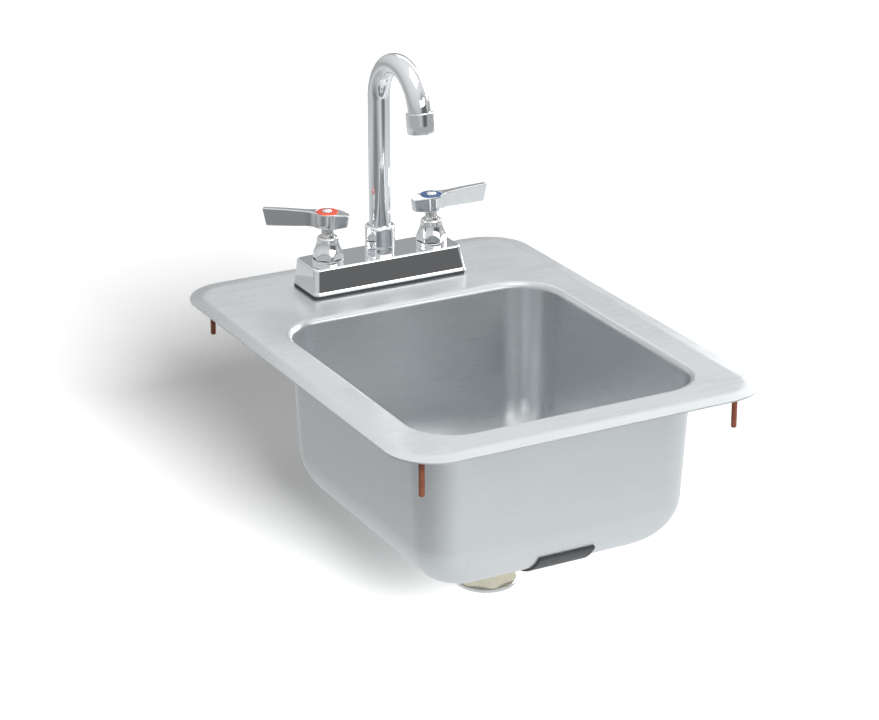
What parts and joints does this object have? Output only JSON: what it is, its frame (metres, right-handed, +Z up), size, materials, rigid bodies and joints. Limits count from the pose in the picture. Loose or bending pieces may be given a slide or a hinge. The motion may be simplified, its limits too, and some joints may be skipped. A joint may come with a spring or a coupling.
{
  "type": "drop-in hand sink with deck faucet",
  "caption": "Self-rimming stainless hand sink with a lift-out basket drain and a deck faucet that has two quarter-turn levers and a swivel gooseneck.",
  "frame": {"origin": "centre of the rim on the plane of the countertop, which is also the centre of the stud pattern", "axes": "+X right along the two handles, +Y to the back where the faucet stands, +Z up"},
  "size_m": [0.3302, 0.4414, 0.4185],
  "materials": {
    "satin_steel": "satin, fine grain left to right",
    "drawn_steel": "bright drawn",
    "coppered_steel": "copper-flashed thread",
    "black_rubber": "matte",
    "putty": "matte",
    "fibre": "pressed fibre",
    "die_cast": "bright die casting",
    "yellow_zinc": "pale yellow zinc plate",
    "white_nylon": "natural nylon",
    "chrome": "polished chrome plate",
    "brass": "machined",
    "nickel_brass": "nickel plate",
    "ceramic_white": "lapped",
    "red_index": "gloss",
    "blue_index": "gloss",
    "grey_plastic": "moulded"
  },
  "bodies": {
    "sink": {"sink_deck": "satin_steel", "sink_bowl": "satin_steel", "weld_studs": "coppered_steel", "sound_pad": "black_rubber", "drain_body": "drawn_steel", "drain_gasket": "putty", "drain_washer": "black_rubber", "friction_ring": "fibre", "drain_locknut": "die_cast", "outlet_nut": "yellow_zinc", "outlet_ring": "die_cast", "slip_washer": "white_nylon", "faucet_gasket": "black_rubber", "faucet_base": "chrome", "faucet_waterway": "brass", "inlet_shanks": "brass", "shank_washers": "die_cast", "shank_locknuts": "die_cast", "bonnet_rings": "chrome", "bonnet_seals": "black_rubber", "hot_bonnet": "chrome", "cold_bonnet": "chrome", "valve_cartridges": "nickel_brass", "stem_seals": "black_rubber", "fixed_discs": "ceramic_white", "spout_hub": "chrome", "spout_nut": "chrome", "spout_seal": "black_rubber", "spout_bearing": "white_nylon"},
    "basket": {"basket_cup": "drawn_steel", "basket_seal": "black_rubber", "basket_knob": "chrome"},
    "hot_lever": {"hot_disc": "ceramic_white", "hot_stem": "brass", "hot_handle": "chrome", "hot_index": "red_index", "hot_screw": "chrome"},
    "cold_lever": {"cold_disc": "ceramic_white", "cold_stem": "brass", "cold_handle": "chrome", "cold_index": "blue_index", "cold_screw": "chrome"},
    "spout": {"spout_tube": "chrome", "spout_retainer": "brass", "aerator_housing": "chrome", "aerator_washer": "black_rubber", "aerator_screen": "grey_plastic"}
  },
  "joints": [
    {"name": "hot_turn", "type": "hinge", "parent": "sink", "child": "hot_lever", "pos_m": [-0.0463, 0.1596, 0.06], "axis": [0, 0, 1], "range_deg": [0, 90]},
    {"name": "cold_turn", "type": "hinge", "parent": "sink", "child": "cold_lever", "pos_m": [0.0553, 0.1596, 0.06], "axis": [0, 0, 1], "range_deg": [-90, 0]},
    {"name": "spout_swivel", "type": "hinge", "parent": "sink", "child": "spout", "pos_m": [0.0045, 0.1596, 0.05], "axis": [0, 0, 1], "continuous": true},
    {"name": "basket_lift", "type": "slide", "parent": "sink", "child": "basket", "axis": [0, 0, 1], "range_m": [0, 0.12]}
  ]
}
